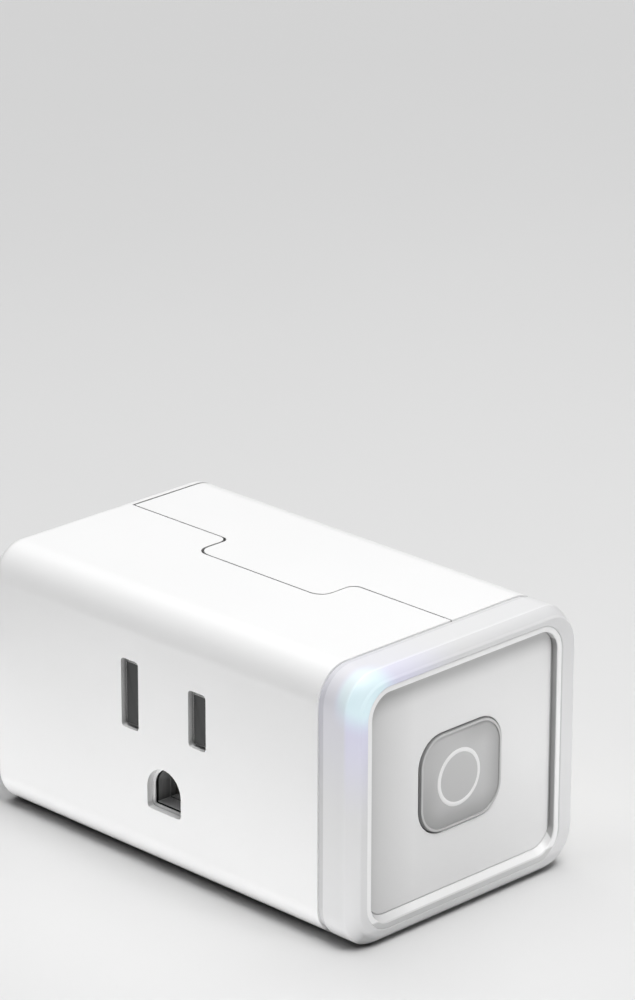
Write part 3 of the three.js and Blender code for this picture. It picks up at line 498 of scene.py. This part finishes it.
def board_material():
    """Green solder mask over copper tracks, with pads."""
    nodes = Nodes("solder_mask")
    grid = {"Vector": nodes.place, "Scale": 420.0}
    tracks = nodes.add("ShaderNodeTexVoronoi", grid, distance="MANHATTAN", feature="DISTANCE_TO_EDGE")
    tracks = tracks.outputs["Distance"]
    copper = nodes.ramp(tracks, 1.0, 0.0, 0.04, 0.09)
    pads = nodes.add("ShaderNodeTexVoronoi", {"Vector": nodes.place, "Scale": 300.0}).outputs["Distance"]
    pad = nodes.ramp(pads, 1.0, 0.0, 0.12, 0.16)
    mask = nodes.mix(copper, (0.02, 0.16, 0.07, 1), (0.05, 0.30, 0.13, 1))
    nodes.shade(Base_Color=nodes.mix(pad, mask, (0.75, 0.74, 0.70, 1)))
    nodes.shade(Roughness=nodes.ramp(pad, 0.35, 0.25), Metallic=pad, Coat_Weight=0.3)
    nodes.bump(nodes.math("ADD", copper, pad), 0.4, 0.03 * MM)
    return nodes.material


def wound_material(name, colour, dark, axis, pitch):
    """Turns of wire or tape, one beside the next along an axis."""
    nodes = Nodes(name)
    inputs = {"Vector": nodes.place, "Scale": 0.32 / pitch, "Distortion": 0.4}
    turns = nodes.add("ShaderNodeTexWave", inputs, bands_direction=axis.upper()).outputs["Fac"]
    nodes.shade(Base_Color=nodes.mix(turns, dark, colour), Roughness=0.38, Coat_Weight=0.4)
    nodes.bump(turns, 0.8, 0.06 * MM)
    return nodes.material


MATERIALS = {
    "case_plastic": case_material(),
    "diffuser": ring_material(),
    "plate_plastic": plate_material(),
    "button_plastic": button_material(),
    "mark_plastic": plastic("pale_button_mark", grey(0.86), 0.4),
    "blade_metal": metal("bright_blade_metal", (0.83, 0.76, 0.60, 1), 0.24, "y"),
    "contact_metal": metal("tinned_contact_alloy", (0.50, 0.48, 0.45, 1), 0.34, "y"),
    "insulator": plastic("grey_insulator", grey(0.17), 0.5, grain=5000, depth=0.01),
    "socket_insulator": socket_material(),
    "board": board_material(),
    "black_plastic": plastic("black_moulding", grey(0.018), 0.45, grain=5000, depth=0.01),
    "plunger_plastic": plastic("plunger_white", (0.78, 0.77, 0.72, 1), 0.45),
    "led": plastic("clear_lamp", (0.80, 0.88, 0.98, 1), 0.12, coat=0.6),
    "can_metal": metal("tinned_sheet", (0.78, 0.79, 0.80, 1), 0.28, "z"),
    "relay_case": plastic("blue_relay_case", (0.025, 0.10, 0.38, 1), 0.25, coat=0.4),
    "copper_winding": wound_material("enamelled_winding", (0.72, 0.30, 0.10, 1), (0.20, 0.06, 0.02, 1),
                                     "y", 0.22 * MM),
    "soft_iron": metal("plated_iron", (0.56, 0.57, 0.58, 1), 0.35, "z"),
    "film_capacitor": plastic("yellow_box", (0.80, 0.50, 0.05, 1), 0.3, coat=0.3),
    "can_sleeve": plastic("dark_sleeve", (0.02, 0.025, 0.04, 1), 0.25, coat=0.5),
    "ferrite": plastic("ground_ferrite", grey(0.035), 0.6, grain=2500, depth=0.03),
    "tape": wound_material("yellow_tape", (0.85, 0.60, 0.06, 1), (0.55, 0.34, 0.02, 1), "z", 1.9 * MM),
    "blue_epoxy": plastic("dipped_epoxy", (0.03, 0.13, 0.42, 1), 0.4, grain=900, depth=0.05),
    "green_lacquer": plastic("green_lacquer", (0.07, 0.22, 0.10, 1), 0.35, grain=1500, depth=0.02),
}


# ---------------------------------------------------------------- case

def case_solid(name, right):
    """The outside of the case, from its rounded left end to a cut at the right."""
    left = SHELL_LOW.x
    loops = []
    for inset, x in [(CASE_END_EDGE - v, left + CASE_END_EDGE - u)
                     for u, v in arc(0, 0, CASE_END_EDGE, 0, 90, 8)]:
        loops.append(end_loop(x, inset, inset, CASE_EDGE - inset * 0.8))
    loops.append(end_loop(right, 0, 0, CASE_EDGE))
    return loft(name, loops)


def case_room(right):
    """The hollow inside the case, with a thinner wall behind the socket face."""
    left = COVER_LOW.x - 0.15 * MM
    room = loft("room", [end_loop(x, WALL, WALL, CASE_EDGE - WALL) for x in (left, right)])
    low = RING_LOW.y + FACE_WALL
    margin = CASE_EDGE * 0.9
    face = rounded_outline((right - left) / 2, HALF_HEIGHT - margin, 0.4 * MM, 3)
    centre = (left + right) / 2
    deeper = extrude("deeper", [(centre + u, MIDDLE.z + v) for u, v in face], "y", low, low + 2 * MM)
    return boolean(room, deeper, "UNION")


def seam_zone(grow):
    """The part of space that belongs to the rear cover, as seen from above."""
    left, right = COVER_LOW.x - 0.15 * MM - grow, SHELL_HIGH.x + 5 * MM
    seam, front, rear = SEAM_Y - grow, COVER_LOW.y - 0.15 * MM - grow, SHELL_HIGH.y + 5 * MM
    tab_left, tab_right = TAB_LEFT - grow, TAB_RIGHT + grow
    root, nose = 1.35 * MM, 2.0 * MM
    outline = [(left, rear), (left, seam)]
    outline += arc(tab_left - root, seam - root, root, 90, 0, 7)
    outline += arc(tab_left + nose, front + nose, nose, 180, 270, 9)
    outline += arc(tab_right - nose, front + nose, nose, 270, 360, 9)
    outline += arc(tab_right + root, seam - root, root, 180, 90, 7)
    outline += [(right, seam), (right, rear)]
    return extrude("zone", outline, "z", RING_LOW.z - 5 * MM, RING_HIGH.z + 5 * MM)


def blade_slot_outline(side, grow=0.0):
    half_width, half_height = SLOT_WIDTH / 2 + grow, SLOT_HEIGHT[side] / 2 + grow
    outline = rounded_outline(half_width, half_height, 0.15 * MM + grow, 3)
    return [(BLADE_X[side] + u, v) for u, v in outline]


def arch_outline(grow=0.0):
    """A flat floor, straight sides and a round top."""
    radius = ARCH_RADIUS + grow
    corner = 0.2 * MM + grow
    floor = ARCH_FLOOR - grow
    outline = arc(-radius + corner, floor + corner, corner, 180, 270, 3)
    outline += arc(radius - corner, floor + corner, corner, 270, 360, 3)
    return outline + arc(0, ARCH_CENTRE, radius, 0, 180, 24)


def opening_cutter(outline, depth):
    """Cuts an opening in the socket face: a wider mouth with a steep wall and a narrow ledge."""
    face = RING_LOW.y
    steps = [(-1 * MM, SLOT_CHAMFER), (MOUTH_WALL, 0.9 * SLOT_CHAMFER), (MOUTH_DEPTH, 0), (depth, 0)]
    return loft("opening", [[Vector((u, face + y, v)) for u, v in outline(grow)] for y, grow in steps])


def socket_openings(depth):
    return [
        opening_cutter(lambda grow: blade_slot_outline("neutral", grow), depth),
        opening_cutter(lambda grow: blade_slot_outline("line", grow), depth),
        opening_cutter(arch_outline, depth),
    ]


def front_case():
    right = SHELL_HIGH.x + 0.12 * MM
    case = case_solid("case_front", right)
    boolean(case, case_room(right + 5 * MM))
    boolean(case, seam_zone(SEAM / 2))
    for cutter in socket_openings(FACE_WALL + 1 * MM):
        boolean(case, cutter)
    tidy(case)
    return soften(case)


def blade_hole(side):
    gap = 0.2 * MM
    outline = rounded_outline(BLADE_THICKNESS / 2 + gap, BLADE_HEIGHT / 2 + gap, 0.25 * MM, 3)
    return extrude("hole", [(BLADE_X[side] + u, v) for u, v in outline], "y", -WALL - 1 * MM, 1 * MM)


def pin_hole():
    circle = arc(0, PIN_Z, PIN_RADIUS + 0.2 * MM, 0, 360, 40)[:-1]
    return extrude("hole", circle, "y", -WALL - 1 * MM, 1 * MM)


def rear_case():
    right = SHELL_HIGH.x + 0.12 * MM
    case = case_solid("case_rear", right)
    boolean(case, case_room(right + 5 * MM))
    boolean(case, seam_zone(-SEAM / 2), "INTERSECT")
    for cutter in (blade_hole("neutral"), blade_hole("line"), pin_hole()):
        boolean(case, cutter)
    tidy(case)
    return soften(case)


# ---------------------------------------------------------------- button end

def rounding(x, inset, radius, start, end, steps=5):
    """Part of a profile of (x, inset): an arc from one angle to another, 0 towards +X, 90 outwards."""
    return [(x + u, inset - v) for u, v in arc(0, 0, radius, start, end, steps)]


def broad_edge():
    """From the crease to the end face: a shallow arc, tilted at both ends, with both creases eased."""
    angles = [math.radians(64 - 3 * i) for i in range(9)]
    first, last = angles[0], angles[-1]
    points = rounding(CREASE_X - 0.1 * MM, 0.4 * MM, 0.4 * MM, 90, 68, 3)
    for angle in angles[1:]:
        along = (math.cos(angle) - math.cos(first)) / (math.cos(last) - math.cos(first))
        down = (math.sin(first) - math.sin(angle)) / (math.sin(first) - math.sin(last))
        points.append((CREASE_X + EDGE_LENGTH * along, EDGE_INSET * down))
    end = points.pop()
    return points + rounding(end[0] - 0.2 * MM, end[1] + 0.15 * MM, 0.2 * MM, 36, 0, 4)


def outer_loop(x, inset):
    """A loop round the ring's outside. Its edge is broad everywhere but at the back."""
    front, rear = inset, min(inset, 0.15 * inset + 0.15 * MM)
    radius = CASE_EDGE - inset * 0.35
    return end_loop(x, (front + rear) / 2, inset, radius, shift_y=(front - rear) / 2)


def diffuser_ring():
    """A profile swept round the end: a shallow step by the seam, a flat side, a crease, a broad edge."""
    start, small = RING_LOW.x - 0.15 * MM, 0.12 * MM
    outside = [(start, STEP_DEPTH), (start + STEP_WIDTH, STEP_DEPTH)]
    outside += rounding(start + STEP_WIDTH + small, small, small, 180, 90) + broad_edge()
    loops = [outer_loop(x, inset) for x, inset in outside]
    for x, wider in ((RING_HIGH.x, small), (RIM_TOP, 0), (start, 0)):
        loops.append(end_loop(x, OPENING_Y - wider, OPENING_Z - wider, OPENING_CORNER + wider))
    return smooth(loft("diffuser_ring", loops, ring=True), 24)


def plate_loop(x, inset, raised=0.0):
    """A loop round the end plate, set in from its outer edge, with its lower side raised."""
    gap = 0.02 * MM
    corner = max(OPENING_CORNER - gap - inset, 0.4 * MM)
    inset_y, inset_z = OPENING_Y + gap + inset, OPENING_Z + gap + inset + raised / 2
    return end_loop(x, inset_y, inset_z, corner, shift_z=raised / 2)


def button_loop(x, grow, ahead=0.0):
    """The button's outline, grown outwards or, when negative, drawn in, and stretched to the front."""
    inset_y = HALF_DEPTH - HALF_BUTTON_Y - grow - ahead / 2
    inset_z = HALF_HEIGHT - HALF_BUTTON_Z - grow
    return end_loop(x, inset_y, inset_z, BUTTON_CORNER + grow, shift_y=-ahead / 2)


def button_plate():
    """The recessed plate: a rounded rim, a wall that slopes along the bottom, a groove, a floor, a hole."""
    top = RIM_TOP
    floor = CAP_HIGH.x - BUTTON_PROUD
    rim, edge, lip, groove = RIM_WIDTH, 0.1 * MM, 0.08 * MM, 0.16 * MM
    profile = [(PLATE_LOW.x, 0), (top - 0.03 * MM, 0), (top, 0.03 * MM)]
    profile += rounding(top - edge, rim - edge, edge, 0, -90)
    loops = [plate_loop(x, inset) for x, inset in profile]
    for x, inset in [(floor, rim), (floor - groove, rim + 0.03 * MM), (floor - groove, rim + groove),
                     (floor, rim + 1.2 * groove)]:
        loops.append(plate_loop(x, inset, SLOPE_WIDTH))
    for x, inset in rounding(floor - lip, -lip, lip, 0, -90):
        loops.append(button_loop(x, BUTTON_GAP - inset, FRONT_GAP))
    back = floor - 1.5 * MM
    foot = 1.2 * MM
    loops += [button_loop(back, BUTTON_GAP, FRONT_GAP), plate_loop(back, foot), plate_loop(PLATE_LOW.x, foot)]
    return smooth(loft("button_plate", loops, ring=True))


def button_face():
    """The cap: a flange behind the plate, a skirt, a rounded edge, a lip, then a cushioned face."""
    top = CAP_HIGH.x
    flange_face = PLATE_LOW.x + 2.9 * MM
    flange_back = flange_face - 1 * MM
    skirt_face = top - BUTTON_PROUD - 0.1 * MM
    lip_face, edge, lip = top - 0.08 * MM, 0.14 * MM, 0.22 * MM
    loops = [button_loop(flange_back, BUTTON_FLANGE), button_loop(flange_face, BUTTON_FLANGE)]
    loops += [button_loop(flange_face, SKIRT), button_loop(skirt_face, SKIRT), button_loop(skirt_face, 0)]
    loops += [button_loop(x, -inset) for x, inset in rounding(lip_face - edge, edge, edge, 90, 0)]
    start = edge + lip + 0.06 * MM
    loops += [button_loop(lip_face, -edge - lip), button_loop(top - FACE_EDGE, -start)]
    steps = 14
    for i in range(1, steps):
        share = i / steps
        inward = start + (HALF_BUTTON_Z - start) * share
        rise = PILLOW * (1 - (1 - share) ** 4)
        loops.append(face_loop(top - FACE_EDGE + rise, inward, share))
    cap = loft("button_face", loops)
    circle = arc(MIDDLE.y, MIDDLE.z, 2 * MM, 0, 360, 32)[:-1]
    stem = extrude("stem", circle, "x", CAP_LOW.x, flange_back + 0.4 * MM)
    boolean(cap, stem, "UNION")
    return smooth(cap, 25)


def face_loop(x, inward, share):
    """A loop on the button's face that turns from the cap's outline into a circle at the middle."""
    half_y, half_z = HALF_BUTTON_Y - inward, HALF_BUTTON_Z - inward
    radius = min(half_y, half_z)
    if share < 0.6:
        radius = min(BUTTON_CORNER - inward + 2.4 * inward * share, radius)
    outline = rounded_outline(half_y, half_z, max(radius, 0.3 * MM))
    return [Vector((x, MIDDLE.y + u, MIDDLE.z + v)) for u, v in outline]


def button_mark():
    """A pale ring on the button, standing just proud of its cushioned face."""
    top = CAP_HIGH.x - FACE_EDGE + PILLOW + 0.045 * MM
    middle, half = (MARK_OUTER + MARK_INNER) / 2, (MARK_OUTER - MARK_INNER) / 2
    profile = [(top - 0.4 * MM, middle + half), (top - 0.08 * MM, middle + half)]
    profile += [(top - 0.08 * MM + 0.05 * MM * math.sin(t), middle + half * math.cos(t))
                for t in (math.radians(a) for a in range(15, 166, 15))]
    profile += [(top - 0.08 * MM, middle - half), (top - 0.4 * MM, middle - half)]
    loops = []
    for x, radius in profile:
        circle = arc(MIDDLE.y, MIDDLE.z, radius, 0, 360, 96)[:-1]
        loops.append([Vector((x, u, v)) + MARK_SHIFT for u, v in circle])
    return smooth(loft("button_mark", loops, ring=True))


# ---------------------------------------------------------------- plug pins

def plug_blade(side):
    """A stamped blade with a rolled edge, a tapered tip and a round hole near it."""
    low, high = BLADES[side]
    x, half = BLADE_X[side], BLADE_HEIGHT / 2
    tail = 2.5 * MM
    foot = -3.1 * MM
    tip, slope = 2.2 * MM, 1.3 * MM
    outline = [(low.y, -tail), (foot, -tail), (foot, -half), (high.y - tip, -half), (high.y, -half + slope),
               (high.y, half - slope), (high.y - tip, half), (foot, half), (foot, tail), (low.y, tail)]
    blade = extrude("pin_" + side, outline, "x", x - BLADE_THICKNESS / 2, x + BLADE_THICKNESS / 2)
    hole = extrude("hole", arc(11.9 * MM, 0, 1.6 * MM, 0, 360, 32)[:-1], "x", x - 2 * MM, x + 2 * MM)
    boolean(blade, hole)
    section = rounded_outline((high.x - low.x) / 2, (high.z - low.z) / 2, 0.4 * MM, 3)
    cross = [(x + u, v) for u, v in section]
    boolean(blade, extrude("foot", cross, "y", foot, foot + 0.8 * MM), "UNION")
    tidy(blade)
    return soften(blade, 0.22 * MM, 4)


def ground_pin():
    """A turned pin with a half-round nose and a shoulder behind the case wall."""
    foot, flange = -3.1 * MM, 0.8 * MM
    tail = 1.5 * MM
    edge = 0.15 * MM
    shoulder = (PIN_HIGH.x - PIN_LOW.x) / 2
    profile = [(PIN_LOW.y, tail - edge), (PIN_LOW.y + edge, tail), (foot, tail), (foot, shoulder)]
    profile += [(foot + flange, shoulder), (foot + flange, PIN_RADIUS)]
    nose = PIN_HIGH.y - PIN_RADIUS
    profile += [(nose + PIN_RADIUS * math.sin(t), PIN_RADIUS * math.cos(t))
                for t in (math.radians(a) for a in range(0, 86, 8))]
    loops = []
    for y, radius in profile:
        loops.append([Vector((u, y, v)) for u, v in arc(0, PIN_Z, radius, 0, 360, 40)[:-1]])
    return smooth(loft("pin_ground", loops))


# ---------------------------------------------------------------- behind the socket face

def carrier_block():
    """The insulating block behind the openings: narrow entries, wide pockets behind them."""
    front, rear = CARRIER_FRONT, CARRIER_HIGH.y
    centre_z = (CARRIER_LOW.z + CARRIER_HIGH.z) / 2
    half_x, half_z = (CARRIER_HIGH.x - CARRIER_LOW.x) / 2, (CARRIER_HIGH.z - CARRIER_LOW.z) / 2
    outline = [(u, centre_z + v) for u, v in rounded_outline(half_x, half_z, 1.5 * MM, 6)]
    block = extrude("socket_block", outline, "y", front, rear)
    for grow, depth in ((-0.04 * MM, 2.2 * MM), (-0.2 * MM, rear - front)):
        shapes = [blade_slot_outline(side, grow) for side in ("neutral", "line")] + [arch_outline(grow)]
        for shape in shapes:
            boolean(block, extrude("entry", shape, "y", front - 1 * MM, front + depth))
    openings = ((BLADE_X["neutral"], 0, 2.7 * MM, BLADE_ENTRY), (BLADE_X["line"], 0, 2.7 * MM, BLADE_ENTRY),
                (0, PIN_Z, 3.9 * MM, PIN_ENTRY))
    for x, z, half, entry in openings:
        pocket = [(x + u, z + v) for u, v in rounded_outline(half, 3.3 * MM, 0.3 * MM, 3)]
        boolean(block, extrude("pocket", pocket, "y", front + entry, rear + 1 * MM))
    tidy(block)
    return soften(block, 0.08 * MM, 2)


# ---------------------------------------------------------------- build the object

def build_outside():
    finish_piece(front_case(), "case", "case_plastic", MATERIALS["case_plastic"], "front_shell")
    finish_piece(rear_case(), "case", "case_plastic", MATERIALS["case_plastic"], "rear_cover")
    finish_piece(diffuser_ring(), "case", "diffuser", MATERIALS["diffuser"], "light_ring")
    finish_piece(button_plate(), "case", "plate_plastic", MATERIALS["plate_plastic"], "end_plate")
    finish_piece(button_face(), "button", "button_plastic", MATERIALS["button_plastic"], "button_cap")
    finish_piece(button_mark(), "button", "button_plastic", MATERIALS["mark_plastic"])
    for side in ("neutral", "line"):
        finish_piece(plug_blade(side), "case", "blade_metal", MATERIALS["blade_metal"], "blade_" + side)
    finish_piece(ground_pin(), "case", "blade_metal", MATERIALS["blade_metal"], "ground_pin")
    finish_piece(carrier_block(), "case", "insulator", MATERIALS["socket_insulator"], "socket_carrier")


def dress_frame():
    """Gives every CAD node that stays in view its slot's material and softly rounded edges."""
    for part in frame["record"]["subparts"]:
        node = frame["nodes"][part["node"]]
        if node.hide_render:
            continue
        node.data.materials.clear()
        node.data.materials.append(MATERIALS[part["material_slot"]])
        soften(node, 0.06 * MM, 2)


# ---------------------------------------------------------------- stage, light and camera

def area_light(name, place, aim, size, power, colour=(1, 1, 1)):
    data = bpy.data.lights.new(name, "AREA")
    data.shape = "RECTANGLE"
    data.size, data.size_y = size
    data.energy = power
    data.color = colour
    light = bpy.data.objects.new(name, data)
    light.location = place
    light.visible_camera = False
    light.rotation_mode = "QUATERNION"
    light.rotation_quaternion = (Vector(aim) - Vector(place)).to_track_quat("-Z", "Y")
    bpy.context.scene.collection.objects.link(light)
    return light


def light_only(light, *names):
    """Lets a light fall on the named pieces and on nothing else."""
    lit = bpy.data.collections.new(light.name + "_falls_on")
    for name in names:
        lit.objects.link(bpy.data.objects[name])
    light.light_linking.receiver_collection = lit


def pale_floor():
    """A plain floor that runs out into the backdrop, as a studio sweep does."""
    nodes = Nodes("pale_floor")
    distance = nodes.vector("LENGTH", nodes.place, result="Value")
    seen = nodes.add("ShaderNodeLightPath").outputs["Is Camera Ray"]
    far = nodes.math("MULTIPLY", seen, nodes.ramp(distance, 0.0, 1.0, 0.2, 0.75))
    colour = nodes.mix(nodes.noise(12, 2), grey(0.67), grey(0.65))
    nodes.shade(Base_Color=nodes.mix(far, colour, grey(0.0)), Roughness=0.6)
    nodes.shade(Specular_IOR_Level=nodes.math("SUBTRACT", 0.5, nodes.math("MULTIPLY", far, 0.5)))
    nodes.shade(Emission_Color=grey(BACKDROP), Emission_Strength=far)
    reach = 4.0
    corners = [(-reach, -reach), (reach, -reach), (reach, reach), (-reach, reach)]
    bm = bmesh.new()
    bm.faces.new([bm.verts.new((x, y, SHELL_LOW.z - 0.05 * MM)) for x, y in corners])
    floor = new_object("floor", bm)
    floor.data.materials.append(nodes.material)


def dim_world():
    """A faint, even surround for the light, and a plain pale backdrop for the camera."""
    world = bpy.data.worlds.new("studio")
    bpy.context.scene.world = world
    world.use_nodes = True
    tree = world.node_tree
    seen = tree.nodes.new("ShaderNodeLightPath").outputs["Is Camera Ray"]
    strength = tree.nodes.new("ShaderNodeMapRange")
    strength.inputs["To Min"].default_value = 0.03
    strength.inputs["To Max"].default_value = BACKDROP
    tree.links.new(seen, strength.inputs["Value"])
    background = tree.nodes["Background"]
    background.inputs["Color"].default_value = grey(1)
    tree.links.new(strength.outputs["Result"], background.inputs["Strength"])


def studio():
    dim_world()
    floor = SHELL_LOW.z + 0.2 * MM
    area_light("overhead", (-0.1, 0.1, 1.2), (0, -0.02, 0), (1.3, 1.3), 13.7)
    area_light("overhead_right", (0.45, -0.1, 1.0), (0, -0.02, 0), (0.5, 0.5), 7.9)
    end = area_light("end_right", (0.060, 0.012, -0.018), (0.034, -0.010, -0.010), (0.02, 0.03), 0.0042)
    light_only(end, "diffuser_ring", "button_plate", "button_face", "button_mark")
    area_light("floor_front", (0, -0.082, floor), (0, -0.082, 1), (0.15, 0.08), 0.0385)
    bpy.context.scene.view_settings.view_transform = "Standard"


def camera():
    """A long lens to the right of the socket face and above it."""
    azimuth, elevation, distance = math.radians(45.06), math.radians(20.21), 0.64
    roll = math.radians(0.13)
    aim = Vector((-20.5, 7.61, 10.74)) * MM
    back = Vector((math.sin(azimuth) * math.cos(elevation), -math.cos(azimuth) * math.cos(elevation),
                   math.sin(elevation)))
    data = bpy.data.cameras.new("camera")
    data.sensor_width = 36
    data.lens = 166.3
    data.clip_start, data.clip_end = 0.01, 20
    eye = bpy.data.objects.new("camera", data)
    eye.rotation_mode = "QUATERNION"
    eye.location = aim + back * distance
    tilt = Matrix.Rotation(roll, 3, "Z").to_quaternion()
    eye.rotation_quaternion = (-back).to_track_quat("-Z", "Y") @ tilt
    bpy.context.scene.collection.objects.link(eye)
    bpy.context.scene.camera = eye


build_outside()
dress_frame()
pale_floor()
studio()
camera()
